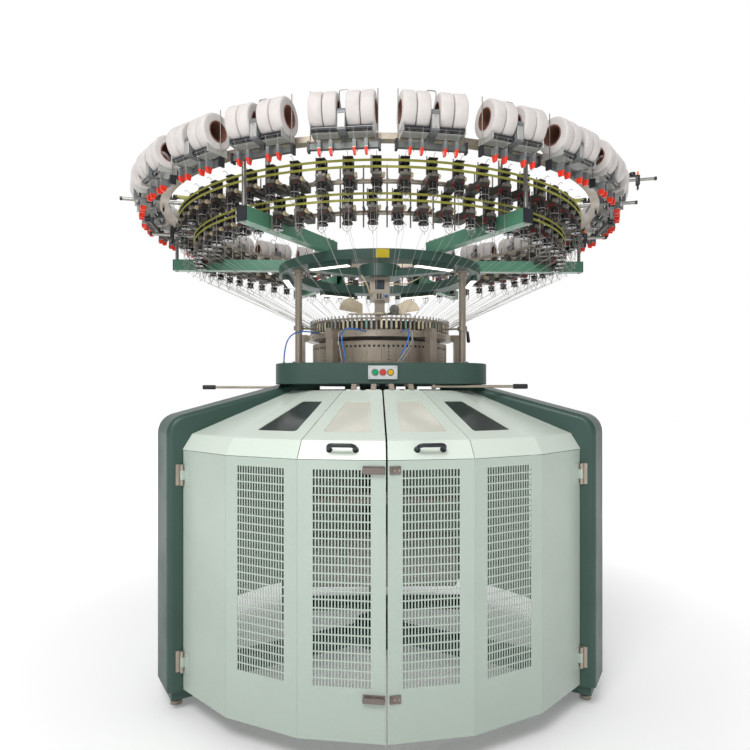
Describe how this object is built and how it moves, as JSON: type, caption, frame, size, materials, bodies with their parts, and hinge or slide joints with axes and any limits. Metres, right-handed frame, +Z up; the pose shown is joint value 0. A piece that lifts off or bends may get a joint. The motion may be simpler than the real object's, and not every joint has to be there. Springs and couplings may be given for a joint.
{
  "type": "industrial knitting machine",
  "caption": "Large circular knitting machine with a guarded base, needle cylinder, yarn feeder rings and an elastane creel ring on arms.",
  "frame": {"origin": "on the floor, on the needle cylinder's axis", "axes": "+Z up, front doors face -Y, +X to the right of someone facing the front"},
  "size_m": [3.0672, 3.0528, 2.9671],
  "materials": {
    "frame_green": "dark green satin enamel",
    "warm_steel": "machined steel",
    "guard_mint": "pale mint satin paint on sheet steel",
    "acrylic": "clear acrylic sheet",
    "black": "black moulded plastic",
    "latch_grey": "grey-brown enamel",
    "panel_grey": "pale grey plate",
    "green_button": "green moulded button",
    "red_button": "red moulded button",
    "yellow_button": "yellow moulded button",
    "grip_black": "black moulded grip",
    "arm_green": "green satin enamel",
    "silver": "satin aluminium",
    "feeder_dark": "dark grey moulded feeder body",
    "gloss_black": "glossy black ceramic-coated wheel",
    "belt_yellow": "yellow-green toothed belt",
    "grey_housing": "grey moulded housing",
    "yarn_white": "wound white yarn",
    "card_brown": "brown card tube",
    "cast_grey": "bare cast iron",
    "cam_steel": "oiled ground steel",
    "fan_cream": "cream moulded plastic",
    "cloth": "rolled knitted fabric",
    "motor_paint": "dark blue-grey enamel",
    "yarn_thread": "taut undyed yarn",
    "hose_blue": "blue air hose"
  },
  "bodies": {
    "machine": {"base_frame": "frame_green", "legs": "frame_green", "levelling_feet": "warm_steel", "bed_plate": "frame_green", "rear_guards": "guard_mint", "roof_panels": "guard_mint", "roof_windows": "acrylic", "guard_hinges": "warm_steel", "control_panel": "panel_grey", "columns": "warm_steel", "support_ring": "frame_green", "ring_arms": "arm_green", "end_caps": "black", "light_bars": "frame_green", "creel_posts": "silver", "creel_rail": "warm_steel", "feeder_rings": "warm_steel", "feeder_bodies": "feeder_dark", "feeder_wheels": "gloss_black", "feeder_belts": "belt_yellow", "belt_tensioners": "silver", "drive_housings": "grey_housing", "drive_rollers": "gloss_black", "yarn_packages": "yarn_white", "package_tubes": "card_brown", "sensor_beams": "cast_grey", "yarn_sensors": "grey_housing", "cam_segments": "cam_steel", "carrier_ring": "warm_steel", "yarn_carriers": "cam_steel", "centre_column": "warm_steel", "motor": "motor_paint", "yarns": "yarn_thread", "hoses": "hose_blue"},
    "door_left": {"door_left": "guard_mint"},
    "door_right": {"door_right": "guard_mint"},
    "upper_latch": {"latch_upper": "latch_grey"},
    "lower_latch": {"latch_lower": "latch_grey"},
    "lid_left": {"lid_left": "guard_mint", "lid_window_left": "acrylic", "lid_handle_left": "black"},
    "lid_right": {"lid_right": "guard_mint", "lid_window_right": "acrylic", "lid_handle_right": "black"},
    "green_button": {"button_green": "green_button"},
    "red_button": {"button_red": "red_button"},
    "yellow_button": {"button_yellow": "yellow_button"},
    "left_lever": {"lever_left": "warm_steel", "grip_left": "grip_black"},
    "right_lever": {"lever_right": "warm_steel", "grip_right": "grip_black"},
    "rotor": {"needle_cylinder": "warm_steel", "main_gear": "cast_grey", "takedown_frame": "frame_green"},
    "pull_roller": {"takedown_roller": "warm_steel"},
    "pressing_roller": {"nip_roller": "warm_steel"},
    "winder": {"winding_shaft": "warm_steel", "cloth_roll": "cloth"},
    "pinion": {"drive_shaft": "warm_steel"},
    "fan": {"lint_fan": "fan_cream"}
  },
  "joints": [
    {"name": "door_left_hinge", "type": "hinge", "parent": "machine", "child": "door_left", "pos_m": [-1.05875, -0.78874, 0.76], "axis": [0, 0, 1], "range_deg": [-95, 0]},
    {"name": "door_right_hinge", "type": "hinge", "parent": "machine", "child": "door_right", "pos_m": [1.05875, -0.78874, 0.76], "axis": [0, 0, 1], "range_deg": [0, 95]},
    {"name": "upper_latch_turn", "type": "hinge", "parent": "door_left", "child": "upper_latch", "pos_m": [-0.05729, -1.30093, 1.35], "axis": [-0.1564, -0.9877, 0], "range_deg": [0, 90]},
    {"name": "lower_latch_turn", "type": "hinge", "parent": "door_left", "child": "lower_latch", "pos_m": [-0.05729, -1.30093, 0.33], "axis": [-0.1564, -0.9877, 0], "range_deg": [0, 90]},
    {"name": "lid_left_hinge", "type": "hinge", "parent": "machine", "child": "lid_left", "pos_m": [-0.10644, -0.672, 1.707], "axis": [-0.9877, 0.1564, 0], "range_deg": [0, 45]},
    {"name": "lid_right_hinge", "type": "hinge", "parent": "machine", "child": "lid_right", "pos_m": [0.10644, -0.672, 1.707], "axis": [-0.9877, -0.1564, 0], "range_deg": [0, 45]},
    {"name": "left_lever_turn", "type": "hinge", "parent": "machine", "child": "left_lever", "pos_m": [-0.59, -0.1, 1.733], "axis": [0, 0, 1], "range_deg": [-12, 12]},
    {"name": "right_lever_turn", "type": "hinge", "parent": "machine", "child": "right_lever", "pos_m": [0.29, -0.6, 1.733], "axis": [0, 0, 1], "range_deg": [-15, 0]},
    {"name": "cylinder_spin", "type": "hinge", "parent": "machine", "child": "rotor", "pos_m": [0, 0, 1.793], "axis": [0, 0, 1], "continuous": true},
    {"name": "pinion_spin", "type": "hinge", "parent": "machine", "child": "pinion", "pos_m": [0, 0.54, 1.793], "axis": [0, 0, 1], "continuous": true},
    {"name": "pull_roller_spin", "type": "hinge", "parent": "rotor", "child": "pull_roller", "pos_m": [0, -0.036, 1], "axis": [1, 0, 0], "continuous": true},
    {"name": "pressing_roller_spin", "type": "hinge", "parent": "rotor", "child": "pressing_roller", "pos_m": [0, 0.036, 1], "axis": [1, 0, 0], "continuous": true},
    {"name": "winder_spin", "type": "hinge", "parent": "rotor", "child": "winder", "pos_m": [0, 0, 0.6], "axis": [1, 0, 0], "continuous": true},
    {"name": "fan_spin", "type": "hinge", "parent": "machine", "child": "fan", "pos_m": [0, 0, 2.215], "axis": [0, 0, 1], "continuous": true},
    {"name": "green_button_press", "type": "slide", "parent": "machine", "child": "green_button", "axis": [0, 1, 0], "range_m": [0, 0.004], "stiffness_N_per_m": 400},
    {"name": "red_button_press", "type": "slide", "parent": "machine", "child": "red_button", "axis": [0, 1, 0], "range_m": [0, 0.004], "stiffness_N_per_m": 400},
    {"name": "yellow_button_press", "type": "slide", "parent": "machine", "child": "yellow_button", "axis": [0, 1, 0], "range_m": [0, 0.004], "stiffness_N_per_m": 400}
  ],
  "couplings": [
    {"joint": "pinion_spin", "follows": "cylinder_spin", "ratio": -4.4},
    {"joint": "pull_roller_spin", "follows": "cylinder_spin", "ratio": 0.2},
    {"joint": "pressing_roller_spin", "follows": "cylinder_spin", "ratio": -0.2},
    {"joint": "winder_spin", "follows": "cylinder_spin", "ratio": 0.04}
  ]
}
